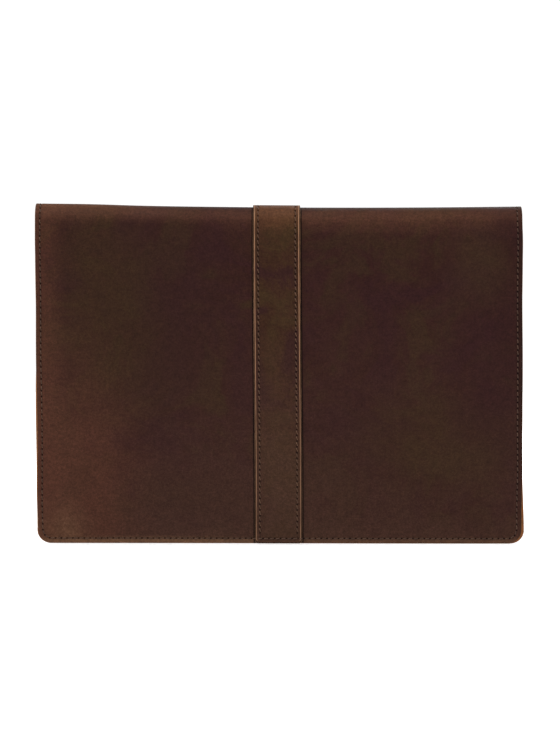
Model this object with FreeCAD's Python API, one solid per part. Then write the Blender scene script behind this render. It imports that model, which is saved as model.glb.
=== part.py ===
"""Leather laptop sleeve with a flap, a centre strap and a snap: one STEP file per piece.

Upright on its seamed bottom edge, +Z up, back panel towards +Y, flap towards -Y. Millimetres.
"""
import FreeCAD
import Part
import math
import os

V = FreeCAD.Vector
os.makedirs("parts", exist_ok=True)

# overall
WIDTH = 362.0
HEIGHT = 250.0
LEATHER = 1.8
STRAP_T = 1.6
FOAM = 1.5
LINING = 0.6
THREAD_W = 0.8
THREAD_T = 0.3

# thread rows, corners
ROW_INSET = 3.7
CORNER_R = 10.0

# fold over the top: half round, its centre line along X, bending at evenly spaced creases
FOLD_R = 11.75
CREASES = 4
SLIT_DEG = 0.7
THREAD_STOP_DEG = 5.0

# front tray: rim along the seam, then slopes to a flat face
FACE_GAP = 0.8
RIM = 7.0
SLOPE_RUN = 12.0
CUP_R = 8.0
MOUTH_Z = 228.0
FOAM_TOP_FRONT = 221.0
LINING_TOP_FRONT = 227.0
FOAM_TOP_BACK = 234.0
LINING_TOP_BACK = 237.0

# strap and tongue
STRAP_W = 35.0
STRAP_X = 1.5
STRAP_ROW_INSET = 3.7

# flap
FLAP_Z = 140.0
FLAP_R = 28.0
TONGUE_END_Z = 80.0
TONGUE_GAP = 0.15

# snap
SNAP_Z = 99.5
SNAP_HOLE_R = 2.1
CAP_R = 6.25
CAP_H = 1.25

# places across the thickness, measured from the fold's centre line
BACK_OUT = FOLD_R
BACK_IN = FOLD_R - LEATHER
BACK_FOAM_IN = BACK_IN - FOAM
BACK_LINING_IN = BACK_FOAM_IN - LINING
STRAP_R = FOLD_R + STRAP_T
FLAP_IN = -(FOLD_R - LEATHER)
FLAP_LINING_IN = FLAP_IN + LINING
FACE_OUT = FLAP_LINING_IN + FACE_GAP
RIM_OUT = BACK_IN - LEATHER
YC = (CAP_H - THREAD_T) / 2
ZC = HEIGHT - FOLD_R


def crease(k):
    """Angle of the fold's crease k, from +Y towards +Z."""
    return (k + 0.5) * 180.0 / CREASES


def box(x0, x1, y0, y1, z0, z1):
    return Part.makeBox(x1 - x0, y1 - y0, z1 - z0, V(x0, y0, z0))


def plate(x0, x1, y0, y1, z0, z1, r):
    """Flat plate across Y, its two lower corners rounded."""
    a = math.sqrt(0.5)
    p = [V(x0, y0, z1), V(x0, y0, z0 + r), V(x0 + r, y0, z0)]
    q = [V(x1 - r, y0, z0), V(x1, y0, z0 + r), V(x1, y0, z1)]
    mid_p = V(x0 + r - r * a, y0, z0 + r - r * a)
    mid_q = V(x1 - r + r * a, y0, z0 + r - r * a)
    edges = [
        Part.makeLine(p[0], p[1]),
        Part.Arc(p[1], mid_p, p[2]).toShape(),
        Part.makeLine(p[2], q[0]),
        Part.Arc(q[0], mid_q, q[1]).toShape(),
        Part.makeLine(q[1], q[2]),
        Part.makeLine(q[2], p[0]),
    ]
    face = Part.Face(Part.Wire(edges))
    return face.extrude(V(0, y1 - y0, 0))


def panel(inset, y0, y1, z_top, r=CORNER_R, z0=0.0):
    """Plate with the sleeve's outline, drawn in by inset on three sides."""
    half = WIDTH / 2 - inset
    return plate(-half, half, y0, y1, z0 + inset, z_top, max(r - inset, 0.5))


def sector(r_in, r_out, a0, a1, x0, x1):
    """Piece of tube round the fold's centre line; angles from +Y towards +Z."""

    def at(r, a):
        t = math.radians(a)
        return V(x0, r * math.cos(t), ZC + r * math.sin(t))

    m = (a0 + a1) / 2
    edges = [
        Part.Arc(at(r_out, a0), at(r_out, m), at(r_out, a1)).toShape(),
        Part.makeLine(at(r_out, a1), at(r_in, a1)),
        Part.Arc(at(r_in, a1), at(r_in, m), at(r_in, a0)).toShape(),
        Part.makeLine(at(r_in, a0), at(r_out, a0)),
    ]
    face = Part.Face(Part.Wire(edges))
    return face.extrude(V(x1 - x0, 0, 0))


def cyl_y(x, z, r, y0, y1):
    return Part.makeCylinder(r, y1 - y0, V(x, y0, z), V(0, 1, 0))


def inset_at(y, depth):
    """How far in from the outline the tray's slope is at y, depth under its outer skin."""
    rise = BACK_IN - FACE_OUT
    along = math.hypot(rise, SLOPE_RUN) / rise
    return RIM + SLOPE_RUN - (y - FACE_OUT) * SLOPE_RUN / rise + depth * along


def cup(depth, y_base, z_top):
    """Solid inside of the tray at depth under its outer skin, from its face back to y_base."""
    wires = []
    for y in (y_base, FACE_OUT + depth):
        i = inset_at(y, depth)
        half = WIDTH / 2 - i
        rect = plate(-half, half, y, y + 1, i, z_top, CUP_R)
        wires.append(rect.Faces[face_at(rect, y)].OuterWire)
    return Part.makeLoft(wires, True, True)


def face_at(solid, y):
    for n, f in enumerate(solid.Faces):
        b = f.BoundBox
        if abs(b.YMin - y) < 1e-6 and abs(b.YMax - y) < 1e-6:
            return n
    raise ValueError("no face there")


def shell(depth, thick, y_base, z_top):
    outer = cup(depth, y_base, z_top + 20)
    inner = cup(depth + thick, y_base, z_top + 20)
    keep = box(-WIDTH, WIDTH, -40, 40, -10, z_top)
    return outer.cut(inner).common(keep)


def strap_box(y0, y1, z0, z1):
    half = STRAP_W / 2
    return box(STRAP_X - half, STRAP_X + half, y0, y1, z0, z1)


def strap_sector(a0, a1):
    half = STRAP_W / 2
    return sector(FOLD_R, STRAP_R, a0, a1, STRAP_X - half, STRAP_X + half)


def strap_row_x(side):
    return STRAP_X + side * (STRAP_W / 2 - STRAP_ROW_INSET)


def edge_row_x(side):
    return side * (WIDTH / 2 - ROW_INSET)


def row_box(x, y0, y1, z0, z1):
    return box(x - THREAD_W / 2, x + THREAD_W / 2, y0, y1, z0, z1)


def row_sector(x, r, a0, a1):
    return sector(r, r + THREAD_T, a0, a1, x - THREAD_W / 2, x + THREAD_W / 2)


def leg(x, z, y0, y1):
    """Where a row's last stitch goes through the layers."""
    return cyl_y(x, z, THREAD_W / 2, y0, y1)


def u_band(make, inset, y0, y1, z_top):
    half = THREAD_W / 2
    outer = make(inset - half, y0, y1, z_top)
    return outer.cut(make(inset + half, y0 - 1, y1 + 1, z_top + 1))


def flap_plate(inset, y0, y1, z_top):
    return panel(inset, y0, y1, z_top, FLAP_R, FLAP_Z)


# ---- body: sleeve ----

BACK_STOP = crease(0) - SLIT_DEG
BACK_THREAD_STOP = crease(0) - THREAD_STOP_DEG
SEAM_TOP = MOUTH_Z - 3.0
STRAP_ROW_Z = 8.0


def seam_leg_points():
    return [(edge_row_x(s), SEAM_TOP) for s in (-1, 1)]


def back_panel():
    s = panel(0, BACK_IN, BACK_OUT, ZC)
    s = s.fuse(sector(BACK_IN, BACK_OUT, 0, BACK_STOP, -WIDTH / 2, WIDTH / 2))
    for x, z in seam_leg_points():
        s = s.cut(leg(x, z, BACK_IN - 1, BACK_OUT + 1))
    for side in (-1, 1):
        s = s.cut(leg(strap_row_x(side), STRAP_ROW_Z, BACK_IN - 1, BACK_OUT + 1))
    return s


def front_panel():
    rim = panel(0, RIM_OUT, BACK_IN, MOUTH_Z)
    tray = rim.fuse(cup(0, BACK_IN, MOUTH_Z + 20))
    tray = tray.cut(cup(LEATHER, BACK_IN + 0.01, MOUTH_Z + 20))
    tray = tray.common(box(-WIDTH, WIDTH, -40, 40, -10, MOUTH_Z))
    for x, z in seam_leg_points():
        tray = tray.cut(leg(x, z, RIM_OUT - 1, BACK_IN + 1))
    tray = tray.cut(cyl_y(STRAP_X, SNAP_Z, SNAP_HOLE_R, FACE_OUT - 1, FACE_OUT + LEATHER + 1))
    for side in (-1, 1):
        tray = tray.cut(leg(side * MOUTH_ROW_X, MOUTH_ROW_Z, FACE_OUT - 1, FACE_OUT + 3))
    return tray


def back_foam():
    half = 169.5
    return plate(-half, half, BACK_FOAM_IN, BACK_IN, WIDTH / 2 - half, FOAM_TOP_BACK, CUP_R)


def back_lining():
    half = 167.5
    low = WIDTH / 2 - half
    return plate(-half, half, BACK_LINING_IN, BACK_FOAM_IN, low, LINING_TOP_BACK, CUP_R)


def front_foam():
    s = shell(LEATHER, FOAM, BACK_FOAM_IN, FOAM_TOP_FRONT)
    room = cyl_y(STRAP_X, SNAP_Z, POST_R + 0.5, FACE_OUT, FACE_OUT + LEATHER + FOAM + 1)
    return s.cut(room)


def front_lining():
    return shell(LEATHER + FOAM, LINING, BACK_FOAM_IN, LINING_TOP_FRONT)


def strap_back():
    s = strap_box(BACK_OUT, STRAP_R, 0, ZC)
    s = s.fuse(strap_sector(0, BACK_STOP))
    for side in (-1, 1):
        s = s.cut(leg(strap_row_x(side), STRAP_ROW_Z, BACK_OUT - 1, STRAP_R + 1))
    return s


def seam_thread():
    """One thread round three sides: a row behind, a row in front, a stitch through at each end."""
    back = u_band(panel, ROW_INSET, BACK_OUT, BACK_OUT + THREAD_T, ZC)
    half = STRAP_W / 2
    back = back.cut(box(STRAP_X - half, STRAP_X + half, 0, 40, -1, 20))
    z0 = ROW_INSET - THREAD_W / 2
    z1 = ROW_INSET + THREAD_W / 2
    w = THREAD_W
    top = box(STRAP_X - half - w, STRAP_X + half + w, STRAP_R, STRAP_R + THREAD_T, z0, z1)
    s = back.fuse(top)
    for x0 in (STRAP_X - half - w, STRAP_X + half):
        s = s.fuse(box(x0, x0 + w, BACK_OUT, STRAP_R + THREAD_T, z0, z1))
    for side in (-1, 1):
        s = s.fuse(row_sector(edge_row_x(side), FOLD_R, 0, BACK_THREAD_STOP))
    s = s.fuse(u_band(panel, ROW_INSET, RIM_OUT - THREAD_T, RIM_OUT, SEAM_TOP))
    for x, z in seam_leg_points():
        s = s.fuse(leg(x, z, RIM_OUT - THREAD_T, BACK_OUT + THREAD_T))
    return s


MOUTH_ROW_Z = MOUTH_Z - ROW_INSET
MOUTH_ROW_X = 156.0


def mouth_thread():
    z0 = MOUTH_ROW_Z - THREAD_W / 2
    z1 = MOUTH_ROW_Z + THREAD_W / 2
    s = box(-MOUTH_ROW_X, MOUTH_ROW_X, FACE_OUT - THREAD_T, FACE_OUT, z0, z1)
    for side in (-1, 1):
        s = s.fuse(leg(side * MOUTH_ROW_X, MOUTH_ROW_Z, FACE_OUT - THREAD_T, FACE_OUT + LEATHER))
    return s


def strap_thread_back(side):
    x = strap_row_x(side)
    s = row_box(x, STRAP_R, STRAP_R + THREAD_T, STRAP_ROW_Z, ZC)
    s = s.fuse(leg(x, STRAP_ROW_Z, BACK_IN, STRAP_R + THREAD_T))
    return s.fuse(row_sector(x, STRAP_R, 0, BACK_THREAD_STOP))


# ---- bodies: fold_back, fold_top, fold_front, each between two creases ----

FOLD_PARTS = ("back", "top", "front")


def fold_leather(k):
    return sector(BACK_IN, BACK_OUT, crease(k) + SLIT_DEG, crease(k + 1) - SLIT_DEG, -WIDTH / 2, WIDTH / 2)


def fold_lining(k):
    r = BACK_IN - LINING
    return sector(r, BACK_IN, crease(k) + SLIT_DEG, crease(k + 1) - SLIT_DEG, -WIDTH / 2, WIDTH / 2)


def fold_strap(k):
    return strap_sector(crease(k) + SLIT_DEG, crease(k + 1) - SLIT_DEG)


def fold_row(k, x, r):
    return row_sector(x, r, crease(k) + THREAD_STOP_DEG, crease(k + 1) - THREAD_STOP_DEG)


def fold_pieces():
    """Name and shape of every piece of the fold."""
    pieces = {}
    for k, part in enumerate(FOLD_PARTS):
        stem = "fold_" + part
        pieces[stem + "_leather"] = fold_leather(k)
        pieces[stem + "_lining"] = fold_lining(k)
        pieces[stem + "_strap"] = fold_strap(k)
        for side, letter in ((1, "a"), (-1, "b")):
            pieces[stem + "_edge_thread_" + letter] = fold_row(k, edge_row_x(side), FOLD_R)
            pieces[stem + "_strap_thread_" + letter] = fold_row(k, strap_row_x(side), STRAP_R)
    return pieces


# ---- body: flap ----

FLAP_START = crease(CREASES - 1) + SLIT_DEG
FLAP_THREAD_START = crease(CREASES - 1) + THREAD_STOP_DEG


def flap_leather():
    s = flap_plate(0, -FOLD_R, FLAP_IN, ZC)
    return s.fuse(sector(BACK_IN, BACK_OUT, FLAP_START, 180, -WIDTH / 2, WIDTH / 2))


def flap_lining():
    s = flap_plate(0, FLAP_IN, FLAP_LINING_IN, ZC)
    return s.fuse(sector(BACK_IN - LINING, BACK_IN, FLAP_START, 180, -WIDTH / 2, WIDTH / 2))


def strap_front():
    s = strap_box(-STRAP_R, -FOLD_R, FLAP_Z + TONGUE_GAP, ZC)
    return s.fuse(strap_sector(FLAP_START, 180))


def flap_thread(side):
    """Row round one half of the flap; it stops where it runs under the strap."""
    s = u_band(flap_plate, ROW_INSET, -FOLD_R - THREAD_T, -FOLD_R, ZC)
    s = s.fuse(row_sector(edge_row_x(side), FOLD_R, FLAP_THREAD_START, 180))
    edge = STRAP_X + side * (STRAP_W / 2 + 0.1)
    far = side * WIDTH
    return s.common(box(min(edge, far), max(edge, far), -40, 40, 0, 300))


def strap_thread_front(side):
    x = strap_row_x(side)
    s = row_box(x, -STRAP_R - THREAD_T, -STRAP_R, FLAP_Z + 2.0, ZC)
    return s.fuse(row_sector(x, STRAP_R, FLAP_THREAD_START, 180))


# ---- body: tongue ----

POST_R = 5.5


def tongue_outline(inset, y0, y1):
    half = STRAP_W / 2 - inset
    z1 = FLAP_Z - TONGUE_GAP
    return plate(STRAP_X - half, STRAP_X + half, y0, y1, TONGUE_END_Z + inset, z1, half - 0.02)


def tongue_strap():
    s = tongue_outline(0, -STRAP_R, -FOLD_R)
    return s.cut(cyl_y(STRAP_X, SNAP_Z, SNAP_HOLE_R, -STRAP_R - 1, -FOLD_R + 1))


def tongue_thread():
    half = THREAD_W / 2
    y0 = -STRAP_R - THREAD_T
    s = tongue_outline(STRAP_ROW_INSET - half, y0, -STRAP_R)
    s = s.cut(tongue_outline(STRAP_ROW_INSET + half, y0 - 1, -STRAP_R + 1))
    return s.common(box(-60, 60, -40, 40, 0, FLAP_Z - 2.0))


def turned(points):
    """Solid of revolution about the snap's axis from (radius, y) points."""
    at = [V(STRAP_X + r, y, SNAP_Z) for r, y in points]
    face = Part.Face(Part.makePolygon(at + [at[0]]))
    return face.revolve(V(STRAP_X, 0, SNAP_Z), V(0, 1, 0), 360)


def snap_cap():
    """Shallow domed cap with the shank that goes through the tongue into the socket."""
    base = -STRAP_R
    rim = base - 0.35
    top = base - CAP_H
    dome = [(CAP_R, rim), (CAP_R * 0.93, rim - 0.3), (CAP_R * 0.78, rim - 0.58)]
    dome += [(CAP_R * 0.55, rim - 0.78), (CAP_R * 0.28, top + 0.02), (0, top)]
    shank = [(0, -FOLD_R + 0.2), (2.0, -FOLD_R + 0.2), (2.0, base), (CAP_R, base)]
    return turned(shank + dome)


def snap_socket():
    y0 = -FOLD_R
    y1 = y0 + 2.0
    floor = y0 + 0.3
    pts = [(2.05, y0), (5.25, y0), (5.25, y1 - 0.3), (4.95, y1)]
    return turned(pts + [(3.6, y1), (3.4, y1 - 0.2), (3.4, floor), (2.05, floor)])


# ---- front half of the snap, on the sleeve ----

def snap_stud():
    base = FACE_OUT
    nub = base - 0.8
    end = -FOLD_R + 0.4
    hollow = base - 1.4
    pts = [(2.05, base), (5.0, base), (5.0, nub + 0.2), (4.8, nub), (2.7, nub)]
    pts += [(2.7, nub - 0.7), (3.0, nub - 1.1), (3.0, end + 0.4), (2.6, end), (0, end)]
    return turned(pts + [(0, hollow), (2.05, hollow)])


def snap_post():
    inner = FACE_OUT + LEATHER
    pts = [(0, inner + 0.8), (POST_R - 0.3, inner + 0.8), (POST_R, inner + 0.5)]
    return turned(pts + [(POST_R, inner), (2.0, inner), (2.0, FACE_OUT - 1.35), (0, FACE_OUT - 1.35)])


def all_pieces():
    """Name and shape of every piece."""
    pieces = {
        "back_panel": back_panel(),
        "front_panel": front_panel(),
        "back_padding": back_foam(),
        "front_padding": front_foam(),
        "back_lining": back_lining(),
        "front_lining": front_lining(),
        "strap_back": strap_back(),
        "seam_thread": seam_thread(),
        "mouth_thread": mouth_thread(),
        "strap_thread_back_a": strap_thread_back(1),
        "strap_thread_back_b": strap_thread_back(-1),
        "snap_stud": snap_stud(),
        "snap_post": snap_post(),
        "flap_leather": flap_leather(),
        "flap_lining": flap_lining(),
        "strap_front": strap_front(),
        "flap_thread_a": flap_thread(1),
        "flap_thread_b": flap_thread(-1),
        "strap_thread_front_a": strap_thread_front(1),
        "strap_thread_front_b": strap_thread_front(-1),
        "tongue_strap": tongue_strap(),
        "tongue_thread": tongue_thread(),
        "snap_cap": snap_cap(),
        "snap_socket": snap_socket(),
    }
    pieces.update(fold_pieces())
    return pieces


def main():
    for name, shape in all_pieces().items():
        s = shape.removeSplitter()
        solids = s.Solids
        if len(solids) != 1 or not solids[0].isValid():
            raise ValueError(name + " is not one valid solid: " + str(len(solids)))
        solid = solids[0]
        if solid.Volume < 0:
            solid.reverse()
        solid.translate(V(0, YC, 0))
        solid.exportStep("parts/" + name + ".step")


main()
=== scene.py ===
"""Looks of the leather laptop sleeve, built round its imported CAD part.

Lengths are in millimetres until a mesh is made. Angles round the fold start at +Y and go up over the top.
"""
import math

import bmesh
import bpy
import numpy as np
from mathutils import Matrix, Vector

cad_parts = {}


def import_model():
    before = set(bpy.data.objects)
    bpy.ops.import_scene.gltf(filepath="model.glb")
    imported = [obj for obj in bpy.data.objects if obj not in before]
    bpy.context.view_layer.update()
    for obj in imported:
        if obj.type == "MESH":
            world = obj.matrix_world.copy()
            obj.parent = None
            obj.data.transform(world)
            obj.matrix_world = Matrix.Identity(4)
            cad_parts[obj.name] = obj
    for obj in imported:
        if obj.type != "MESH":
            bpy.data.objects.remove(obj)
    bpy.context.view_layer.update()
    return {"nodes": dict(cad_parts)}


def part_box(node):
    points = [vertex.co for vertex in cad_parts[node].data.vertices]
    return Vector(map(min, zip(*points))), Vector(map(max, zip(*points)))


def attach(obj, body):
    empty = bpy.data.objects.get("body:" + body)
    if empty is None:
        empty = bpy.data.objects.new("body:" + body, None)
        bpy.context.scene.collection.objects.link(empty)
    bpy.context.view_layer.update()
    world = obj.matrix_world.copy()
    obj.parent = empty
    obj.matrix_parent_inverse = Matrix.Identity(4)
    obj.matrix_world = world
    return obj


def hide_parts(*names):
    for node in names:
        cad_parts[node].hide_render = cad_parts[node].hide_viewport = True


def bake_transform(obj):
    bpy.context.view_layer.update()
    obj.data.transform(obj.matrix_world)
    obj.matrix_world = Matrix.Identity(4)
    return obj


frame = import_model()

MM = 0.001


def node_box(name):
    low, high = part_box(name)
    return [c / MM for c in low], [c / MM for c in high]


back_high = node_box("back_panel")[1]
fold_high = node_box("fold_top_leather")[1]
flap_low = node_box("flap_leather")[0]
strap_low, strap_high = node_box("strap_back")
front_low, front_high = node_box("front_panel")
tongue_low = node_box("tongue_strap")[0]
cap_low, cap_high = node_box("snap_cap")

HALF = back_high[0]  # half the sleeve's width
YC = (back_high[1] + flap_low[1]) / 2  # the fold's centre line
R = (back_high[1] - flap_low[1]) / 2  # leather's outer radius in the fold
ZC = fold_high[2] - R
STRAP_T = strap_high[1] - back_high[1]
STRAP_X = (strap_low[0] + strap_high[0]) / 2
STRAP_HALF = (strap_high[0] - strap_low[0]) / 2
LEATHER = 1.8
FOAM = 1.5
LINING = 0.6
FACE = front_low[1] - YC  # front panel's outer face
RIM = R - 2 * LEATHER  # outer face of its sewn rim
MOUTH_Z = front_high[2]
FLAP_Z = flap_low[2]
S_TOP = ZC + R * math.pi / 2  # length along the hide: bottom edge, top, flap's edge
S_FRONT = ZC + R * math.pi
S_END = S_FRONT + ZC - FLAP_Z
S_TIP = S_END + FLAP_Z - tongue_low[2]
CREASES = 4  # the fold bends at this many evenly spaced lines
CREASE_STEP = math.pi / CREASES
S_LOW = ZC + R * CREASE_STEP  # halfway from the first crease to the second
S_HIGH = S_FRONT - R * CREASE_STEP  # halfway from the third crease to the last
ROW = 3.7  # stitch row's distance from an edge
PITCH = 4.3  # from one stitch hole to the next
SNAP_X = (cap_low[0] + cap_high[0]) / 2
SNAP_Z = (cap_low[2] + cap_high[2]) / 2


def step(a, b, v):
    """0 before a, 1 after b, smooth between them."""
    t = np.clip((np.asarray(v, float) - a) / (b - a), 0, 1)
    return t * t * (3 - 2 * t)


def bell(v, centre, width):
    return np.exp(-((v - centre) / width) ** 2)


def edge_distance(x, z, half, corner):
    """Distance in from the outline's sides and bottom, rounded at the two lower corners."""
    e = half - np.abs(x)
    inside = corner - np.hypot(np.maximum(corner - e, 0), np.maximum(corner - z, 0))
    return np.where((e < corner) & (z < corner), inside, np.minimum(e, z))


# how far the leather strays from its CAD shape
PINCH = 3.2  # the back, in at its sewn edges
TUCK = 3.4  # the flap's sides, in towards the front panel
SAG, SAG_X = 5.5e-5, -55.0  # of the top edge: a parabola, and its lowest place
BUMP, BUMP_X, BUMP_W = 0.5, 141.0, 30.0  # a soft hump in the top edge
RIPPLE = 0.16  # of the cut sides
FRONT_SHIFT = 1.5  # of the front panel's lower end, towards -X


def soften(x, y, z, front):
    """Used leather's uneven shape. y is from the fold's centre line, and front for the front panel."""
    rear = step(-7, 8, y)
    side = HALF - np.abs(x)
    e = edge_distance(x, z, HALF, 40)

    # in and out: pinched edges, tucked sides, waves
    pinch = (1 - step(-2, 34, e)) * (1 - step(165, 234, z))
    tuck = (1 - step(-4, 34, side)) * (1 - step(196, 240, z)) * step(95, 150, z)
    calm = step(0, 26, e) * (1 - step(200, 240, z))
    wave = 0.32 * np.sin(x / 37 + 1.3) * np.sin(z / 43 + 0.4) + 0.22 * np.sin(x / 21 - z / 57 + 2.1)
    dy = (wave * calm - PINCH * pinch) * rear + TUCK * tuck * (1 - rear)

    # up and down: the top edge sags in the middle, the bottom one slopes
    sag = SAG * (x - SAG_X) ** 2 - 0.1 + BUMP * bell(x, BUMP_X, BUMP_W)
    dz = sag * step(90, 245, z) + 0.5 * step(-HALF, HALF, x) * (1 - step(0, 100, z))

    # sideways: the sides lean and ripple, and the layers don't quite meet
    lean = (0.85 if front else 1.45) * (1 - step(15, 235, z))
    ripple = RIPPLE * np.sin(z / 17 + (2.0 if front else 0.0)) * (1 - step(0, 12, side))
    ripple = ripple * (1 - step(215, 235, z))
    peek = (-0.2 if front else 0.2) * step(25, 40, z) * (1 - step(115, 135, z))
    plus_in = 0.42 + 0.6 * (1 - step(8, 40, z)) + peek
    minus_in = 0.4 * step(222, 240, z) + (0.4 if front else 0.8) * (1 - step(25, 60, z))
    dx = ripple * np.sign(x) - lean * step(-HALF, -20, x)
    dx = dx - plus_in * step(40, HALF, x) + minus_in * step(-80, -HALF, x)
    if front:
        dx = dx - FRONT_SHIFT * (1 - step(14, 66, z)) * (1 - step(-HALF, -HALF + 30, x))
    return x + dx, y + dy + YC, z + dz


def hide(u, s, off):
    """The one hide: up the back, over the top and down the flap.

    s is the length along it from its bottom edge, and off the depth under its outer face."""
    phi = np.clip((s - ZC) / R, 0, math.pi)
    r = R - off
    y = r * np.cos(phi)
    z = ZC + r * np.sin(phi) - np.maximum(s - S_FRONT, 0) + np.minimum(s - ZC, 0)
    return soften(u, y, z, False)


TRAY_CORNER = 26.0
SLOPE_FROM, SLOPE_TO = 6.0, 21.5  # from the edge, where the tray's sides rise


def tray_height(x, z):
    return RIM + (FACE - RIM) * step(SLOPE_FROM, SLOPE_TO, edge_distance(x, z, HALF, TRAY_CORNER))


def tray(u, v, off):
    """The front panel: sewn rim, round slope, flat face. off is the depth under its outer face."""
    d = 0.25
    height = tray_height(u, v)
    gx = (tray_height(u + d, v) - tray_height(u - d, v)) / (2 * d)
    gz = (tray_height(u, v + d) - tray_height(u, v - d)) / (2 * d)
    n = np.sqrt(1 + gx * gx + gz * gz)
    return soften(u - gx / n * off, height + off / n, v - gz / n * off, True)


# ---- mesh builders ----

def corner_points(band, inset, radius, count, start):
    """Points of one ring in a corner patch, on rays from the patch's inner corner."""
    h = max(band - inset, 0.0)
    rho = min(max(radius - inset, 0.0), h)       # the ring's own corner radius
    out = []
    for k in range(1, count):
        t = math.radians(start + 90 * k / count)
        a, b = math.cos(t), math.sin(t)
        s = h / max(abs(a), abs(b))
        c = h - rho
        if abs(a * s) > c and abs(b * s) > c:
            dc = abs(a) * c + abs(b) * c
            s = dc + math.sqrt(max(dc * dc - (2 * c * c - rho * rho), 0.0))
        out.append((a * s, b * s))
    return out


class Sheet:
    """A sheet of hide or cloth, u across and v up from its cut lower edge, with rounded lower corners.

    Rings of points run round its cut edges, close together, so that rows of stitches can dent it. Inside
    them, where v is under fold_from, its faces are coarse times larger. closed adds a cut upper edge.
    """

    def __init__(self, u0, u1, v0, v1, radius, band, rings, closed=False, fine=0.72, coarse=6, fold_from=1e9):
        self.verts, self.faces = [], []
        self.closed = closed
        top = v1 - band if closed else v1
        nu = max(1, round((u1 - u0 - 2 * band) / (fine * coarse)))
        nv = max(1, round((top - v0 - band) / (fine * coarse)))
        big_u = np.linspace(u0 + band, u1 - band, nu * coarse + 1)
        big_v = np.linspace(v0 + band, top, nv * coarse + 1)
        count = max(5, round(radius * 1.35 / fine))
        ku = list(range(0, nu * coarse + 1, coarse))
        kv = [0]
        while kv[-1] < nv * coarse:
            ahead = min(kv[-1] + coarse, nv * coarse)
            kv.append(ahead if big_v[ahead] < fold_from else kv[-1] + 1)

        def corner(cu, cv, start, inset):
            return [(cu + a, cv + b) for a, b in corner_points(band, inset, radius, count, start)]

        for inset, off in rings:
            # down one side, along the bottom, up the other, and back along the top if closed
            ring = [(u0 + inset, v) for v in big_v[::-1]]
            ring += corner(u0 + band, v0 + band, 180, inset)
            ring += [(u, v0 + inset) for u in big_u]
            ring += corner(u1 - band, v0 + band, 270, inset)
            ring += [(u1 - inset, v) for v in big_v]
            if closed:
                ring += corner(u1 - band, v1 - band, 0, inset)
                ring += [(u, v1 - inset) for u in big_u[::-1]]
                ring += corner(u0 + band, v1 - band, 90, inset)
            self.verts += [(u, v, off, inset) for u, v in ring]
        m = len(ring)
        for k in range(len(rings) - 1):
            for j in range(m if closed else m - 1):
                a, b = k * m + j, k * m + (j + 1) % m
                self.faces.append((a, b, b + m, a + m))
        for first, off in ((0, rings[0][1]), ((len(rings) - 1) * m, rings[-1][1])):
            self.fill(first, off, big_u, big_v, ku, kv, count, band)

    def fill(self, first, off, big_u, big_v, ku, kv, count, band):
        """The coarse faces inside the innermost ring, whose first point is number first."""
        arc = count - 1
        lu, lv = len(big_u), len(big_v)
        # each point's number: all of the ring's, and new ones where coarse lines cross
        ids = np.full((lu, lv), -1)
        ids[:, 0] = first + lv + arc + np.arange(lu)
        if self.closed:
            ids[::-1, -1] = first + 2 * lv + 3 * arc + lu + np.arange(lu)
        ids[0, ::-1] = first + np.arange(lv)
        ids[-1] = first + lv + 2 * arc + lu + np.arange(lv)
        for a in ku[1:-1]:
            for b in kv[1:]:
                if ids[a, b] < 0:
                    ids[a, b] = len(self.verts)
                    self.verts.append((big_u[a], big_v[b], off, band))
        for a0, a1 in zip(ku, ku[1:]):
            for b0, b1 in zip(kv, kv[1:]):
                edge = [*ids[a0:a1, b0], *ids[a1, b0:b1], *ids[a1:a0:-1, b1], *ids[a0, b1:b0:-1]]
                self.faces.append([int(k) for k in edge if k >= 0])


def link(name, data):
    """A new object in the scene."""
    obj = bpy.data.objects.new(name, data)
    bpy.context.scene.collection.objects.link(obj)
    return obj


def finish_mesh(name, points, faces, marks=(), merge=True):
    """An object from points in mm. marks holds (name, type, values) of each attribute.

    merge joins points in one place and closes what holes are left."""
    mesh = bpy.data.meshes.new(name)
    mesh.from_pydata([tuple(p) for p in np.asarray(points) * MM], [], faces)
    for key, kind, values in marks:
        layer = mesh.attributes.new(key, kind, "POINT")
        field = "vector" if kind == "FLOAT_VECTOR" else "value"
        layer.data.foreach_set(field, np.asarray(values, np.float32).ravel())
    bm = bmesh.new()
    bm.from_mesh(mesh)
    if merge:
        bmesh.ops.remove_doubles(bm, verts=bm.verts, dist=2e-6)
        edges = [e for e in bm.edges if e.is_boundary]
        if edges:
            bmesh.ops.holes_fill(bm, edges=edges, sides=0)
    bmesh.ops.recalc_face_normals(bm, faces=bm.faces)
    bm.to_mesh(mesh)
    bm.free()
    mesh.shade_smooth()
    return link(name, mesh)


def cut_piece(source, name, planes):
    """The part of source behind every plane, each a point and a direction in mm.

    Flat faces with sharp edges close its cuts."""
    mesh = source.data.copy()
    mesh.name = name
    bm = bmesh.new()
    bm.from_mesh(mesh)
    for point, direction in planes:
        bmesh.ops.bisect_plane(
            bm,
            geom=bm.verts[:] + bm.edges[:] + bm.faces[:],
            dist=1e-7,
            plane_co=Vector(point) * MM,
            plane_no=direction,
            clear_outer=True,
        )
        rim = [e for e in bm.edges if e.is_boundary]
        for face in bmesh.ops.holes_fill(bm, edges=rim, sides=0)["faces"]:
            for edge in face.edges:
                edge.smooth = False
    bm.to_mesh(mesh)
    bm.free()
    return link(name, mesh)


def cut_up(source, names, cuts):
    """Cuts source across at each (point, direction) in turn, and removes it.

    The first name is the part behind the first cut, and the last name the part past the last one."""
    parts = []
    for k, name in enumerate(names):
        planes = [cuts[k]] if k < len(cuts) else []
        if k > 0:
            point, direction = cuts[k - 1]
            planes.append((point, [-c for c in direction]))
        parts.append(cut_piece(source, name, planes))
    spare = source.data
    bpy.data.objects.remove(source)
    bpy.data.meshes.remove(spare)
    return parts


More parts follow.
